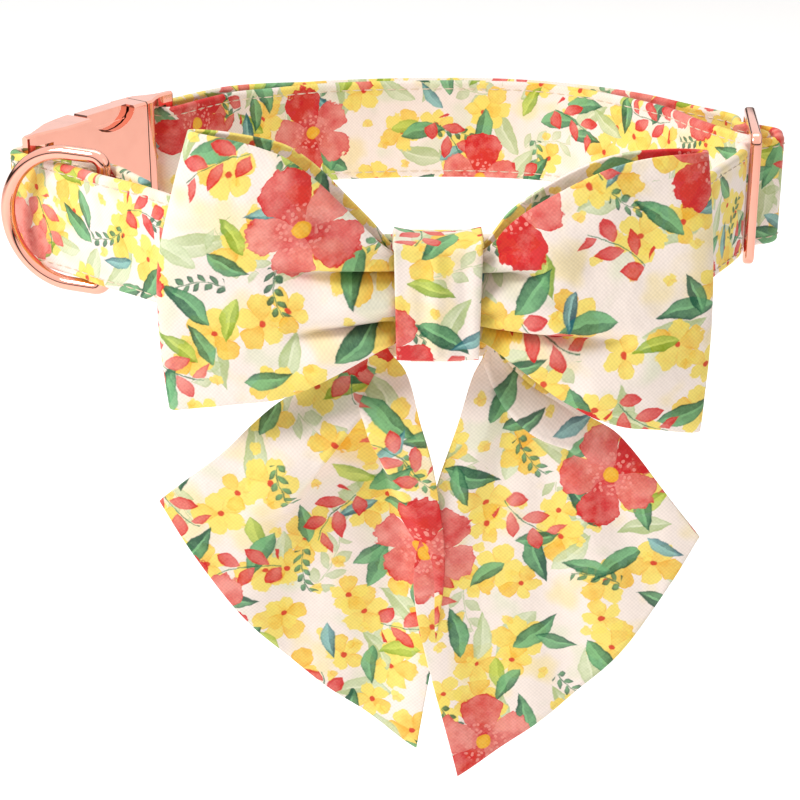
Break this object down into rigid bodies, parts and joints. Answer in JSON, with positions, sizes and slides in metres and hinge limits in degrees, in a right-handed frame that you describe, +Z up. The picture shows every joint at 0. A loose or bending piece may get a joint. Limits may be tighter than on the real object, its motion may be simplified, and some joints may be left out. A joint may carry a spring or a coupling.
{
  "type": "pet bow tie collar",
  "caption": "Closed dog collar in floral cotton with a side-release buckle, slider, D-ring and a sailor bow tie held by its keeper at the throat.",
  "frame": {"origin": "middle of the neck opening, on the mid-height of the strap", "axes": "+Z up along the neck opening, -Y towards the bow at the front, +X to the slider side, the buckle side is -X"},
  "size_m": [0.1748, 0.1476, 0.1386],
  "materials": {
    "fabric": "matte",
    "rose_gold": "polished"
  },
  "bodies": {
    "collar": {"strap": "fabric", "slider": "rose_gold", "buckle_body": "rose_gold", "buckle_insert": "rose_gold", "bow_loop_left": "fabric", "bow_loop_right": "fabric", "tail_left": "fabric", "tail_right": "fabric", "bow_knot": "fabric", "bow_keeper": "fabric"},
    "ring": {"d_ring": "rose_gold"}
  },
  "joints": [
    {"name": "d_ring_swing", "type": "hinge", "parent": "collar", "child": "ring", "pos_m": [-0.06528, -0.01801, 0], "axis": [0.0415, -0.0135, 0.999], "range_deg": [0, 125]}
  ]
}
